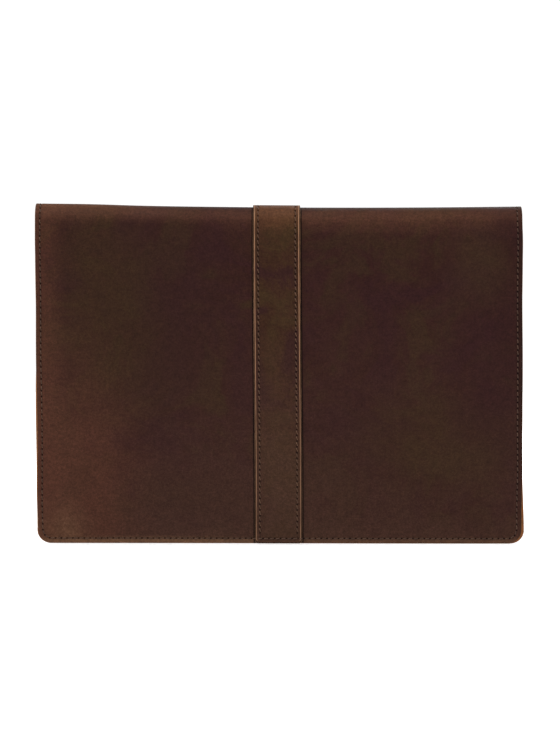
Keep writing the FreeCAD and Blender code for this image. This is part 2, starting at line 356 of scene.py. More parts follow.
RAW_W = 0.5  # width of the bare cut edge
RIM_SEEN = 40.0  # the leather's pattern knows its edge's distance up to this
GROOVE, GROOVE_W = 0.17, 0.55  # depth and half-width of the groove that a row pulls
PIT, PIT_W = 0.6, 0.66  # and of each needle hole in it
NEAR_ROW = 1.4


def dents(u, v, inset, holes):
    """Depth of a row's groove and holes at each point, and how much painted shade the point gets from them.
    """
    d = np.abs(inset - ROW)
    groove = bell(d, 0, GROOVE_W)
    pit = np.zeros(len(u))
    near = np.where(d < NEAR_ROW)[0]
    if len(near):
        gap = np.hypot(u[near, None] - holes[None, :, 0], v[near, None] - holes[None, :, 1]).min(1)
        pit[near] = bell(gap, 0, PIT_W)
    return GROOVE * groove + PIT * pit, np.maximum(pit, 0.3 * groove)


def make_sheet(name, sheet, place, thick, holes=(), down_from=None):
    """Turns a Sheet into a mesh through place(), dented on its outer face at holes.

    down_from is where v = 0 lies along the hide, on a piece that runs down the front."""
    u, v, off, inset = np.array(sheet.verts, float).T
    sink = pit = np.zeros(len(u))
    if len(holes):
        outer = off < thick / 2
        sink, pit = [depth * outer for depth in dents(u, v, inset, holes)]
    x, y, z = place(u, v, off + sink)
    along = v if down_from is None else down_from - v
    skin = np.stack([u, along, off], 1) * MM
    mid = np.abs(off - thick / 2) / (thick / 2)
    raw = np.clip(1 - inset / RAW_W, 0, 1) * (1 - 0.25 * mid)
    flesh = (off > thick * 0.55).astype(float)
    marks = [
        ("skin", "FLOAT_VECTOR", skin),
        ("raw", "FLOAT", raw),
        ("rim", "FLOAT", np.minimum(inset, RIM_SEEN)),
        ("pit", "FLOAT", pit),
        ("flesh", "FLOAT", flesh),
    ]
    return finish_mesh(name, np.stack([x, y, z], 1), sheet.faces, marks)


def edge_rings(band, thick, soft=0.55):
    """Insets and depths from a sheet's outer face, round its cut edge, to its inner face.

    soft is the cut edge's rounding. The outer face has close rings at its row of stitches."""
    row = [ROW + d for d in (-1.2, -0.8, -0.5, -0.25, 0, 0.25, 0.5, 0.8, 1.3, 2.1)]
    wide = [w for w in (8.0, 12.0, 18.0) if w < band - 1] + [soft * 1.7]
    face = sorted(set([r for r in row if r < band - 0.2] + wide))
    under = sorted(set([r for r in (2.0, 4.5) if r < band - 0.2] + wide))
    h = thick / 2
    k = min(soft, h * 0.8)
    quarter = [math.radians(a) for a in (0, 22, 45, 68, 90)]
    turn = [(k * (1 - math.sin(a)), k * (1 - math.cos(a))) for a in quarter]
    out = [(band, 0.0)] + [(f, 0.0) for f in face[::-1]]
    out += turn + [(0.0, h)] + [(i, thick - o) for i, o in turn[::-1]]
    return out + [(f, thick) for f in under] + [(band, thick)]


def walk(points, pitch):
    """Points at even steps of about pitch along a line of points."""
    p = np.asarray(points, float)
    seg = np.hypot(*np.diff(p, axis=0).T)
    run = np.concatenate([[0], np.cumsum(seg)])
    n = max(1, round(run[-1] / pitch))
    at = np.linspace(0, run[-1], n + 1)
    return np.stack([np.interp(at, run, p[:, 0]), np.interp(at, run, p[:, 1])], 1)


def u_path(u0, u1, v0, v1, radius, inset):
    """Down one side, round the lower edge and up the other."""
    r = max(radius - inset, 0.5)
    a, b, c = u0 + inset, u1 - inset, v0 + inset

    def corner(cu, start):
        turn = [math.radians(start + 90 * k / 12) for k in range(1, 12)]
        return [(cu + r * math.cos(t), c + r + r * math.sin(t)) for t in turn]

    left = [(a, v1), (a, c + r), *corner(a + r, 180), (a + r, c)]
    return left + [(b - r, c), *corner(b - r, 270), (b, c + r), (b, v1)]


def tube_faces(first, rings, sides):
    """Faces between rings of points, of which the first is number first."""
    out = []
    for low in range(first, first + (rings - 1) * sides, sides):
        for q in range(sides):
            m = (q + 1) % sides
            out.append((low + q, low + m, low + sides + m, low + sides + q))
    return out


THREAD_R = 0.39
PLY = 0.002  # of the thread's girth in its pattern, once round


def stitches(name, rows, slant):
    """Separate stitches, each a bent cord that dips into its two holes.

    rows holds (holes, place, lift, sign). lift(u, v) is the depth of the face that the row lies on, and sign
    is -1 on an inner face. slant is how far each end of a stitch lies to one side of its row.
    """
    rng = np.random.default_rng(7)
    sides, steps = 7, 7
    t = np.linspace(0, 1, steps + 1)[None, :, None]
    a = (np.arange(sides) * 2 * math.pi / sides)[None, None, :]
    rise = np.sin(math.pi * t) ** 0.55
    pts, faces, tones, plies = [], [], [], []
    count = 0
    for holes, place, lift, sign in rows:
        d = np.diff(holes, axis=0)
        length = np.hypot(d[:, 0], d[:, 1])[:, None, None]
        n = len(length)
        unit = (d / length[:, 0])[:, :, None, None]
        jitter = rng.normal(0, 0.05, (3, n, 1, 1))
        tone = rng.uniform(0, 1, (n, 1, 1))
        go = length * (0.15 + 0.70 * t)
        side = (slant + jitter[0]) * (1 - 2 * t)
        r = THREAD_R * (1 + jitter[2]) * (0.72 + 0.28 * rise)
        cu = holes[:-1, 0, None, None] + unit[:, 0] * go - unit[:, 1] * side
        cv = holes[:-1, 1, None, None] + unit[:, 1] * go + unit[:, 0] * side
        depth = lift(cu, cv) + sign * (0.42 - (0.52 + jitter[1]) * rise)
        u = cu - unit[:, 1] * r * np.cos(a)
        v = cv + unit[:, 0] * r * np.cos(a)
        off = depth - sign * r * 0.8 * np.sin(a)
        pts.append(np.stack(place(u.ravel(), v.ravel(), off.ravel()), 1))
        flat = np.zeros_like(u)
        tones.append((tone + flat).ravel())
        girth = a / (2 * math.pi) * PLY + flat
        plies.append(np.stack([(go + flat).ravel() * MM, girth.ravel(), flat.ravel()], 1))
        for i in range(n):
            base = count + i * (steps + 1) * sides
            faces += tube_faces(base, steps + 1, sides)
            faces.append(tuple(base + q for q in range(sides))[::-1])
            faces.append(tuple(base + steps * sides + q for q in range(sides)))
        count += u.size
    marks = [("tone", "FLOAT", np.concatenate(tones)), ("ply", "FLOAT_VECTOR", np.concatenate(plies))]
    return finish_mesh(name, np.concatenate(pts), faces, marks, merge=False)


def lathe(name, profile, x, z):
    """Solid of revolution about a line along Y from (radius, y) points, first and last on the axis."""
    steps = 64
    pts = []
    for r, y in profile[1:-1]:
        for k in range(steps):
            a = 2 * math.pi * k / steps
            pts.append((x + r * math.cos(a), y, z + r * math.sin(a)))
    rows = len(profile) - 2
    faces = tube_faces(0, rows, steps)
    for end, row in ((profile[0], 0), (profile[-1], rows - 1)):
        tip = len(pts)
        pts.append((x, end[1], z))
        for k in range(steps):
            faces.append((row * steps + k, row * steps + (k + 1) % steps, tip))
    return finish_mesh(name, pts, faces)


# ---- materials ----

class Tree:
    """Short names for a material's nodes."""

    def __init__(self, name):
        self.mat = bpy.data.materials.new(name)
        self.mat.use_nodes = True
        self.nodes = self.mat.node_tree.nodes
        self.links = self.mat.node_tree.links
        self.bsdf = self.nodes["Principled BSDF"]

    def put(self, socket, value):
        if isinstance(value, bpy.types.NodeSocket):
            self.links.new(value, socket)
        elif value is not None:
            socket.default_value = value

    def set(self, name, value):
        self.put(self.bsdf.inputs[name], value)

    def add(self, kind, out, inputs, **settings):
        """Adds a node with these settings and inputs, and returns one of its outputs."""
        n = self.nodes.new("ShaderNode" + kind)
        for key, value in settings.items():
            setattr(n, key, value)
        for key, value in inputs.items():
            self.put(n.inputs[key], value)
        return n.outputs[out]

    def attribute(self, name, out="Vector"):
        return self.add("Attribute", out, {}, attribute_type="GEOMETRY", attribute_name=name)

    def objco(self):
        return self.add("TexCoord", "Object", {})

    def vec(self, op, a, b=None):
        return self.add("VectorMath", "Value" if op == "LENGTH" else "Vector", {0: a, 1: b}, operation=op)

    def math(self, op, a, b=None):
        return self.add("Math", 0, {0: a, 1: b}, operation=op)

    def times(self, a, b):
        return self.math("MULTIPLY", a, b)

    def part(self, co, axis):
        return self.add("SeparateXYZ", axis, {0: co})

    def noise(self, co, scale, detail=3.0, rough=0.55, distort=0.0):
        sizes = {"Scale": scale, "Detail": detail, "Roughness": rough, "Distortion": distort}
        return self.add("TexNoise", "Fac", {"Vector": co, **sizes})

    def shifted(self, co, scale, amount):
        """co moved about by a soft noise, by up to half of amount."""
        noise = self.add("TexNoise", "Color", {"Vector": co, "Scale": scale})
        away = self.vec("SUBTRACT", noise, (0.5, 0.5, 0.5))
        return self.vec("ADD", co, self.vec("MULTIPLY", away, (amount,) * 3))

    def cells(self, co, scale):
        return self.add("TexVoronoi", "Distance", {"Vector": co, "Scale": scale})

    def span(self, v, a, b, c=0.0, d=1.0):
        """c where v is a, d where v is b, smooth between and level past them."""
        ends = {"From Min": a, "From Max": b, "To Min": c, "To Max": d}
        return self.add("MapRange", "Result", {"Value": v, **ends}, interpolation_type="SMOOTHSTEP")

    def mix(self, fac, a, b, mode="MIX"):
        a, b = [c if isinstance(c, bpy.types.NodeSocket) else (*c, 1) for c in (a, b)]
        return self.add("Mix", "Result", {"Factor": fac, "A": a, "B": b}, data_type="RGBA", blend_type=mode)

    def mix_value(self, fac, a, b):
        return self.add("Mix", "Result", {"Factor": fac, "A": a, "B": b}, data_type="FLOAT")

    def grey(self, v):
        return self.add("CombineColor", 0, {0: v, 1: v, 2: v})

    def bump(self, height, strength, distance, normal=None):
        size = {"Strength": strength, "Distance": distance}
        return self.add("Bump", "Normal", {"Height": height, "Normal": normal, **size})

    def patch(self, co, centre, radii, wobble):
        """1 inside a soft ellipse on the hide, 0 outside. centre and radii in mm."""
        c = self.vec("SUBTRACT", co, (centre[0] * MM, centre[1] * MM, 0))
        c = self.vec("MULTIPLY", c, (1 / (radii[0] * MM), 1 / (radii[1] * MM), 0))
        d = self.vec("LENGTH", c)
        if wobble is not None:
            d = self.math("ADD", d, wobble)
        return self.span(d, 1.0 + PATCH_SOFT, 1.0 - PATCH_SOFT)

    def finish(self, colour, rough, specular, normal):
        self.set("Base Color", colour)
        self.set("Roughness", rough)
        self.set("Specular IOR Level", specular)
        self.set("Normal", normal)
        return self.mat


PATCH_SOFT = 0.75  # a patch fades over this share of its size, each way
SMALL_PATCH = 12.0  # patches up to this half-width keep a plain outline


def shade(colour, share):
    return [min(1, c * share) for c in colour]


def clouding(t, co, cloud, dark, light, olive, mottling):
    """Cloudy brown with green-brown and plum marks. mottling spreads the clouds' light and dark."""
    blot = t.noise(t.vec("ADD", co, (3.1, 1.7, 0)), 46, 4, 0.62, 0.4)
    tone = t.math("ADD", t.times(cloud, 0.5), t.times(blot, 0.5))
    colour = t.mix(t.span(tone, 0.5 - 0.17 / mottling, 0.5 + 0.17 / mottling), dark, light)
    hue = t.noise(t.vec("ADD", co, (7.3, 2.9, 0)), 19, 6, 0.65, 0.8)
    colour = t.mix(t.span(hue, 0.49, 0.61, 0.0, 0.85), colour, olive)
    return t.mix(t.span(hue, 0.51, 0.39, 0.0, 0.75), colour, PLUM)


def patched(t, co, colour, patches):
    """Soft patches with broken outlines: (centre, radii, amount, colour) of each."""
    wobble = t.times(t.math("SUBTRACT", t.noise(co, 30, 5, 0.62, 0.5), 0.5), 1.3)
    broken = t.span(t.noise(t.vec("ADD", co, (1.9, 5.2, 0)), 55, 5, 0.65, 0.4), 0.34, 0.6, 0.72, 1.0)
    for centre, radii, amount, tint in patches:
        patch = t.patch(co, centre, radii, wobble if min(radii) > SMALL_PATCH else None)
        colour = t.mix(t.times(patch, t.times(broken, amount)), colour, tint)
    return colour


def grained(t, co, colour, nap):
    """Fine grain in three sizes, and faint scuffs along the hide."""
    coarse = t.span(t.noise(co, 190, 4, 0.6), 0.3, 0.7, 0.90, 1.12)
    speck = t.span(t.noise(co, 1150, 2, 0.6), 0.3, 0.7, 0.86, 1.15)
    grain = t.times(t.times(t.span(nap, 0.3, 0.72, 0.77, 1.25), coarse), speck)
    colour = t.mix(1.0, colour, t.grey(grain), "MULTIPLY")
    scuff = t.noise(t.vec("MULTIPLY", co, (1, 0.22, 1)), 150, 5, 0.7, 1.2)
    return t.mix(t.times(t.span(scuff, 0.64, 0.8), 0.22), colour, RUSSET)


def shadow_line(t, co, colour, dark, middle, half):
    """Painted shadow: a dark line on the hide beside the strap that lies on it."""
    across = t.math("ABSOLUTE", t.math("SUBTRACT", t.part(co, 0), middle * MM))
    gap = t.math("ABSOLUTE", t.math("SUBTRACT", across, (half + 0.35) * MM))
    return t.mix(t.span(gap, 1.1 * MM, 0.3 * MM, 0.0, 0.85), colour, shade(dark, 0.12))


def bevel_line(t, co, colour, dark, tan, rim, edge_noise, bevel):
    """A burnt edge with a tan line at bevel mm from it, partly the bare bevel and partly a painted highlight
    on it, worn off towards the lower end.
    """
    face = t.span(t.part(co, 2), 0.6 * MM, 0.2 * MM)
    burnt = t.span(rim, bevel - 0.3, bevel - 0.6, 0.0, 0.85)
    colour = t.mix(t.times(face, burnt), colour, shade(dark, 0.3))
    off_line = t.math("ABSOLUTE", t.math("SUBTRACT", rim, bevel))
    length = t.part(co, 1)
    shown = t.times(t.span(length, 1.5 * MM, 3 * MM), t.span(length, 60 * MM, 190 * MM, 0.62, 1.0))
    shown = t.times(shown, t.span(edge_noise, 0.3, 0.6, 0.6, 1.0))
    # the tan line: bare bevel and painted highlight
    line = t.times(t.span(off_line, 0.40, 0.12), shown)
    return t.mix(t.times(face, line), colour, tan)


def leather(name, tones, tan, patches, rough=0.66, mottling=1.0, beside=None, worn=1.0, bevel=None):
    """Oiled pull-up leather: cloudy browns, fine pores, paler where it is rubbed, tan where it is cut.

    tones are its dark, light and green-brown. beside is the middle and half-width of a strap that lies on it,
    for a painted shadow beside the strap, worn how bright its cut edges are near the lower end, and bevel the
    place of a tan line along its edges, partly the bare bevel and partly a painted highlight.
    """
    t = Tree(name)
    co = t.attribute("skin")
    dark, light, olive = tones
    cloud = t.noise(co, 11, 5, 0.62, 0.7)
    nap = t.noise(co, 520, 4, 0.7)
    rim = t.attribute("rim", "Fac")
    edge_noise = t.noise(co, 70, 3, 0.6)
    colour = clouding(t, co, cloud, dark, light, olive, mottling)
    near = t.span(t.math("ADD", rim, t.times(edge_noise, 3.0)), 5.0, 1.0)
    colour = t.mix(t.times(near, 0.35), colour, RUSSET)
    colour = patched(t, co, colour, patches)
    colour = grained(t, co, colour, nap)
    # painted shadow on the hide beside the strap
    if beside is not None:
        colour = shadow_line(t, co, colour, dark, *beside)
    if bevel is not None:
        colour = bevel_line(t, co, colour, dark, tan, rim, edge_noise, bevel)
    # painted shade in the needle holes and along each row's groove
    colour = t.mix(t.span(t.attribute("pit", "Fac"), 0.05, 0.8, 0.0, 0.92), colour, shade(dark, 0.12))

    # the cut edge, and the suede side
    ragged = t.times(t.math("SUBTRACT", t.noise(co, 160, 3, 0.6), 0.5), 0.9)
    cut = t.span(t.math("ADD", t.attribute("raw", "Fac"), ragged), 0.25, 0.8)
    fibre = t.mix(t.span(t.noise(co, 700, 3, 0.6), 0.35, 0.7), tan, shade(tan, 0.6))
    fibre = t.mix(t.span(t.part(co, 1), 0.02, 0.24, worn, 1.0), shade(tan, 0.35), fibre)
    colour = t.mix(cut, colour, fibre)
    suede = t.mix(t.span(t.noise(co, 380, 4, 0.7), 0.35, 0.7), SUEDE, shade(SUEDE, 0.7))
    colour = t.mix(t.attribute("flesh", "Fac"), colour, suede)

    shine = t.math("ADD", t.times(cloud, 0.6), t.times(nap, 0.4))
    shine = t.span(shine, 0.35, 0.65, rough - 0.07, rough + 0.08)
    pores = t.cells(t.shifted(co, 300, 0.0012), 900)
    fine = t.bump(pores, 0.22, 0.00025)
    fine = t.bump(nap, 0.2, 0.0005, fine)
    fine = t.bump(t.noise(co, 120, 4, 0.6, 0.8), 0.20, 0.0016, fine)
    return t.finish(colour, t.mix_value(cut, shine, 0.85), 0.1, fine)


def thread_material(name, pale, deep):
    """Twisted, waxed thread. Each stitch has its own tone."""
    t = Tree(name)
    ply = t.attribute("ply")
    along = t.times(t.part(ply, 0), 3 * 1400)
    around = t.times(t.part(ply, 1), 2 * 2 * math.pi / PLY)
    wave = t.math("SINE", t.math("ADD", along, around))
    colour = t.mix(t.attribute("tone", "Fac"), pale, deep)
    colour = t.mix(t.span(wave, -0.9, 0.6, 0.55, 0.0), colour, shade(deep, 0.35))
    return t.finish(colour, 0.6, 0.3, t.bump(wave, 0.5, 0.00012))


def cloth_material(name, base, deep):
    """Brushed plain-weave lining."""
    t = Tree(name)
    co = t.attribute("skin")
    threads = t.shifted(co, 60, 0.0006)
    k = 2 * math.pi / (WEAVE * MM)
    warp, weft = [t.math("SINE", t.times(t.part(threads, axis), k)) for axis in (0, 1)]
    weave = t.times(warp, weft)
    fuzz = t.noise(co, 900, 4, 0.7)
    colour = t.mix(t.span(t.noise(co, 22, 4, 0.6), 0.3, 0.7), deep, base)
    colour = t.mix(t.span(weave, -0.8, 0.8, 0.0, 0.35), colour, shade(deep, 0.6))
    colour = t.mix(t.span(fuzz, 0.5, 0.8, 0.0, 0.4), colour, shade(base, 1.5))
    t.set("Sheen Weight", 0.25)
    t.set("Sheen Roughness", 0.6)
    return t.finish(colour, 0.92, 0.15, t.bump(fuzz, 0.25, 0.0005, t.bump(weave, 0.35, 0.00015)))


def foam_material(name, base):
    """Open-cell foam."""
    t = Tree(name)
    co = t.attribute("skin")
    cell = t.cells(co, 1500)
    colour = t.mix(t.span(cell, 0.1, 0.6), shade(base, 0.45), base)
    colour = t.mix(t.span(t.noise(co, 40, 3), 0.35, 0.7, 0, 0.4), colour, shade(base, 0.75))
    return t.finish(colour, 0.95, 0.5, t.bump(cell, 0.5, 0.0003))


def brass_material(name):
    """Antique brass: cloudy, dark specks, fine scratches."""
    t = Tree(name)
    co = t.objco()
    cloud = t.noise(co, 380, 4, 0.6)
    speck = t.noise(co, 2600, 3, 0.6)
    scratch = t.noise(t.vec("MULTIPLY", co, (1, 1, 9)), 900, 3, 0.6, 0.8)
    colour = t.mix(t.span(cloud, 0.25, 0.75), BRASS_DARK, BRASS_LIGHT)
    colour = t.mix(t.span(speck, 0.62, 0.78, 0, 0.35), colour, TARNISH)
    rough = t.span(t.math("ADD", cloud, t.times(scratch, 0.4)), 0.5, 0.95, 0.26, 0.5)
    t.set("Metallic", 1.0)
    return t.finish(colour, rough, 0.5, t.bump(scratch, 0.12, 0.0001))


WEAVE = 0.55  # two threads of the lining

# colours, as linear light
UMBER = (0.0290, 0.0085, 0.0055)
COCOA = (0.0385, 0.0133, 0.0090)
OLIVE = (0.0370, 0.0178, 0.0070)
RUSSET = (0.1000, 0.0390, 0.0220)
COPPER = (0.1250, 0.0500, 0.0220)
BRICK = (0.0830, 0.0290, 0.0165)
PLUM = (0.0295, 0.0082, 0.0088)
MUTED_BROWN = (0.0490, 0.0195, 0.0140)
PALE = (0.1500, 0.0760, 0.0400)
SAND = (0.0640, 0.0290, 0.0185)
MOSS = (0.0460, 0.0235, 0.0100)
SOOT = (0.0120, 0.0038, 0.0020)
TAN = (0.42, 0.19, 0.072)
SUEDE = (0.32, 0.125, 0.042)
HIDE_TONES = (UMBER, COCOA, OLIVE)
STRAP_TONES = (0.0345, 0.0124, 0.0054), (0.0480, 0.0192, 0.0092), (0.0470, 0.0240, 0.0085)
STRAP_TAN = (0.42, 0.225, 0.125)
THREAD_PALE, THREAD_DEEP = (0.130, 0.068, 0.042), (0.080, 0.040, 0.025)
STRAP_THREAD_PALE, STRAP_THREAD_DEEP = (0.175, 0.086, 0.046), (0.105, 0.049, 0.027)
LINING_BASE, LINING_DEEP = (0.23, 0.145, 0.085), (0.15, 0.092, 0.052)
FOAM_GREY = (0.11, 0.11, 0.12)
BRASS_DARK, BRASS_LIGHT, TARNISH = (0.24, 0.145, 0.064), (0.40, 0.255, 0.115), (0.05, 0.03, 0.018)

# (centre, radii, amount, colour) of the hide's patches, across and along it from its bottom edge
BODY_PATCHES = [
    # painted light: the lower part paler, standing in for light thrown up from the floor
    ((0, -10), (300, 130), 0.70, MUTED_BROWN),
    ((40, 14), (120, 30), 0.55, SAND),
    ((-70, 2), (100, 16), 0.40, SAND),
    ((150, 40), (38, 90), 0.70, BRICK),
    ((168, 4), (22, 22), 0.50, PALE),
    ((176, 120), (12, 180), 0.62, BRICK),
    ((110, 160), (50, 55), 0.55, OLIVE),
    ((-120, 75), (55, 35), 0.50, OLIVE),
    ((-150, 205), (20, 26), 0.65, MOSS),
    ((-125, 62), (34, 15), 0.45, MOSS),
    ((60, 38), (40, 14), 0.40, OLIVE),
    ((-165, 150), (40, 70), 0.50, PLUM),
    ((-60, 190), (60, 50), 0.35, PLUM),
    ((70, 150), (28, 34), 0.45, PLUM),
    # painted highlights on the fold's upper face, where light falls from above, strongest towards +X
    ((0, 244.6), (400, 5.7), 0.54, RUSSET),
    ((-75, 239), (110, 8), 0.35, RUSSET),
    ((160, 254.5), (70, 14), 0.80, RUSSET),
    ((150, 254), (45, 7), 0.60, COPPER),
    # painted shade along the fold's very top
    ((30, 252), (75, 4), 0.35, UMBER),
    ((130, 205), (30, 40), 0.50, OLIVE),
    ((80, 205), (34, 34), 0.50, PLUM),
    ((-60, 4), (160, 9), 0.30, SAND),
    ((-171, 190), (10, 60), 0.35, UMBER),
    ((50, 46), (45, 28), 0.50, MUTED_BROWN),
    ((-60, 1.2), (400, 2.6), 0.40, PALE),
    ((95, 1.0), (75, 3.4), 0.70, PALE),
    ((-181.6, 150), (3.4, 110), 0.85, SOOT),
]
FRONT_PATCHES = [
    ((60, 100), (90, 60), 0.4, MUTED_BROWN),
    ((-90, 60), (70, 60), 0.4, OLIVE),
]
STRAP_PATCHES = [
    # painted highlight where the strap runs over the fold's top, in the light from above
    ((STRAP_X, 252), (40, 15), 0.95, COPPER),
    ((STRAP_X, -5), (60, 115), 0.85, SAND),
]

body_leather = leather("oiled_hide", HIDE_TONES, TAN, BODY_PATCHES, beside=(STRAP_X, STRAP_HALF))
front_leather = leather("oiled_hide_front", HIDE_TONES, TAN, FRONT_PATCHES)
strap_leather = leather("strap_hide", STRAP_TONES, STRAP_TAN, STRAP_PATCHES, 0.6, 0.9, worn=0.45, bevel=1.15)
thread = thread_material("waxed_thread", THREAD_PALE, THREAD_DEEP)
strap_thread = thread_material("strap_thread", STRAP_THREAD_PALE, STRAP_THREAD_DEEP)
lining = cloth_material("brushed_lining", LINING_BASE, LINING_DEEP)
foam = foam_material("foam", FOAM_GREY)
brass = brass_material("antique_brass")


def paint(obj, mat, slot):
    """Gives the piece its material. slot, the name of the slot that it stands for, is not used."""
    obj.data.materials.append(mat)
    return obj


# ---- placing pieces, and the planes that cut them ----


def bend(obj):
    """Bakes the piece's placement into its mesh."""
    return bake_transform(obj)


def bend_tongue(obj):
    """Bakes the piece's placement into its mesh. The piece is on the tongue, which hangs from the flap's
    edge.
    """
    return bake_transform(obj)


def carried(obj, body, node):
    """The piece stands for one CAD node, and moves with one body."""
    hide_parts(node)
    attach(obj, body)


def across_fold(k):
    """The plane across the fold halfway between creases k - 1 and k, facing on over the fold."""
    a = k * CREASE_STEP
    return (0, YC, ZC), (0, -math.sin(a), math.cos(a))


TONGUE_CUT = FLAP_Z + 6.0  # where the strap is cut, above the tongue's bend
OVER = 0.36  # sheets run this far past the top line before they are cut there
FINE_FROM = 3.0  # faces are small from this far before the fold


# ---- rows of stitches ----

ROW_STOP = 1.4  # a row's last hole lies this far short of the top line
CORNER = 10.0
FLAP_CORNER = 28.0
FLAP_LONG = S_END - S_TOP  # from the flap's edge up to the top line
STRAP_LONG = S_TIP - S_TOP  # from the tongue's end up to the top line
seam_line = walk(u_path(-HALF, HALF, 0, S_TOP - ROW_STOP, CORNER, ROW), PITCH)
flap_line = walk(u_path(-HALF, HALF, 0, FLAP_LONG - ROW_STOP, FLAP_CORNER, ROW), PITCH)
EDGE_SLANT, STRAP_SLANT = 0.26, 0.5


def up(u, v0, v1):
    return walk([(u, v0), (u, v1)], PITCH)


def across(u0, u1, v):
    return walk([(u0, v), (u1, v)], PITCH)


def between(line, low, high):
    """The stretches of a row whose stitches lie between two places up its sheet."""
    mid = (line[:-1, 1] + line[1:, 1]) / 2
    inside = (mid >= low) & (mid < high)
    runs = np.split(np.arange(len(inside)), np.where(np.diff(inside))[0] + 1)
    return [line[run[0]:run[-1] + 2] for run in runs if inside[run[0]]]


# ---- the hide: back, fold, flap ----

def on_flap(u, v, off):
    """The hide, with v up from the flap's edge."""
    return hide(u, S_END - v, off)


def leather_sheet(stuff, u0, u1, top, radius, band, place, thick, holes, soft=0.55, down_from=None):
    """A piece of leather from v = 0 to just past the top line, which is at v = top."""
    rings = edge_rings(band, thick, soft)
    sheet = Sheet(u0, u1, 0, top + OVER, radius, band, rings, fold_from=top - (S_TOP - ZC) - FINE_FROM)
    return paint(make_sheet("leather", sheet, place, thick, holes, down_from), *stuff)


LOW_CUT, TOP_CUT, HIGH_CUT = (across_fold(k) for k in (1, 2, 3))
BEYOND_TOP = ((0, YC, 0), (0, 1, 0))  # facing back over the top line


def cut_at_folds(sheet, nodes, trim, cuts):
    """Trims a sheet, cuts it up, and bakes the placement of its first two parts.

    nodes holds the parts' names, each with the CAD nodes that it stands for."""
    trimmed = cut_piece(sheet, "trimmed", [trim])
    bpy.data.objects.remove(sheet)
    parts = cut_up(trimmed, nodes, cuts)
    for k, part in enumerate(parts[:2]):
        bend(part)
    for part, stands_for in zip(parts, nodes.values()):
        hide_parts(*stands_for)
    return parts


def up_the_back(sheet, nodes):
    """Cuts a piece up the back, at its first fold strip and at the top line."""
    return cut_at_folds(sheet, nodes, TOP_CUT, [LOW_CUT])


def down_the_front(sheet, nodes, more_cuts=()):
    """Cuts a piece down the front, at the top line, at its last fold strip and at more_cuts."""
    return cut_at_folds(sheet, nodes, BEYOND_TOP, [HIGH_CUT, *more_cuts])


BODY = (body_leather, "body_leather")
STRAP = (strap_leather, "strap_leather")
back = leather_sheet(BODY, -HALF, HALF, S_TOP, CORNER, CORNER, hide, LEATHER, seam_line)
up_the_back(back, {"back_hide": ["back_panel", "fold_back_leather"], "fold_hide_back": ["fold_top_leather"]})
flap = leather_sheet(
    BODY, -HALF, HALF, FLAP_LONG, FLAP_CORNER, FLAP_CORNER, on_flap, LEATHER, flap_line, down_from=S_END,
)
down_the_front(flap, {"fold_hide_front": ["fold_front_leather"], "flap_hide": ["flap_leather"]})

MOUTH_ROW_IN = 14.0  # the mouth's row ends this far from the sides
front_line = walk(u_path(-HALF, HALF, 0, MOUTH_Z - ROW, CORNER, ROW), PITCH)
mouth_line = across(-HALF + MOUTH_ROW_IN, HALF - MOUTH_ROW_IN, MOUTH_Z - ROW)
front_rings = edge_rings(CORNER, LEATHER)
front = Sheet(-HALF, HALF, 0, MOUTH_Z, CORNER, CORNER, front_rings, closed=True, fine=0.9, coarse=4)
front = make_sheet("front_hide", front, tray, LEATHER, np.concatenate([front_line, mouth_line]))
carried(paint(front, front_leather, "body_leather"), "sleeve", "front_panel")


# ---- strap ----

def strap_place(u, s, off):
    """On the hide. s is the length along the hide, off the depth under the strap's outer face."""
    return hide(u, s, off - STRAP_T)


def strap_front_place(u, v, off):
    """The same, with v up from the tongue's end."""
    return hide(u, S_TIP - v, off - STRAP_T)


STRAP_LEFT, STRAP_RIGHT = STRAP_X - STRAP_HALF, STRAP_X + STRAP_HALF
STRAP_SOFT = 0.6  # rounding of the strap's cut edges
STRAP_CORNER, STRAP_BAND = 0.6, 7.0
TONGUE_END = STRAP_HALF - 0.05  # the tongue's end is half round
TIP_BAND = STRAP_HALF - 0.02
TONGUE_LONG = S_TIP - S_END
row_places = (STRAP_LEFT + ROW, STRAP_RIGHT - ROW)
strap_rows_back = [up(u, ROW + PITCH, S_TOP - ROW_STOP) for u in row_places]
strap_line = walk(u_path(STRAP_LEFT, STRAP_RIGHT, 0, STRAP_LONG - ROW_STOP, TONGUE_END, ROW), PITCH)
across_strap = across(row_places[0] + 2, row_places[1] - 2, TONGUE_LONG + ROW)
crossing = seam_line[(np.abs(seam_line[:, 0] - STRAP_X) < STRAP_HALF) & (seam_line[:, 1] < CORNER)]

strap_holes = np.concatenate(strap_rows_back + [crossing])
strap = leather_sheet(
    STRAP, STRAP_LEFT, STRAP_RIGHT, S_TOP, STRAP_CORNER, STRAP_BAND, strap_place, STRAP_T, strap_holes,
    STRAP_SOFT,
)
up_the_back(strap, {"strap_rear": ["strap_back", "fold_back_strap"], "fold_strap_back": ["fold_top_strap"]})

strap_holes = np.concatenate([strap_line, across_strap])
strap = leather_sheet(
    STRAP, STRAP_LEFT, STRAP_RIGHT, STRAP_LONG, TONGUE_END, TIP_BAND, strap_front_place, STRAP_T,
    strap_holes, STRAP_SOFT, S_TIP,
)
strap_nodes = {
    "fold_strap_front": ["fold_front_strap"],
    "strap_front_run": ["strap_front"],
    "strap_tongue": ["tongue_strap"],
}
across_tongue = (0, 0, TONGUE_CUT), (0, 0, -1)
bend_tongue(down_the_front(strap, strap_nodes, [across_tongue])[-1])


# ---- lining and foam ----

def cloth(name, half, v0, v1, radius, place, depth, thick, stuff, fold_from=None, down_from=None):
    """A thin sheet from -half to half across, depth under the leather's outer face.

    Where fold_from is given, it is closely divided from there up, and ends at the top line."""
    band = max(radius, 3.0)
    h = thick / 2
    side = [(band, 0.0), (0.25, 0.0), (0.08, h * 0.4)]
    rings = side + [(0.0, h)] + [(i, thick - o) for i, o in side[::-1]]
    closed = fold_from is None
    sheet = Sheet(-half, half, v0, v1, radius, band, rings, closed, 1.5, 4, 1e9 if closed else fold_from)
    obj = make_sheet(name, sheet, lambda u, v, off: place(u, v, off + depth), thick, down_from=down_from)
    return paint(obj, *stuff)


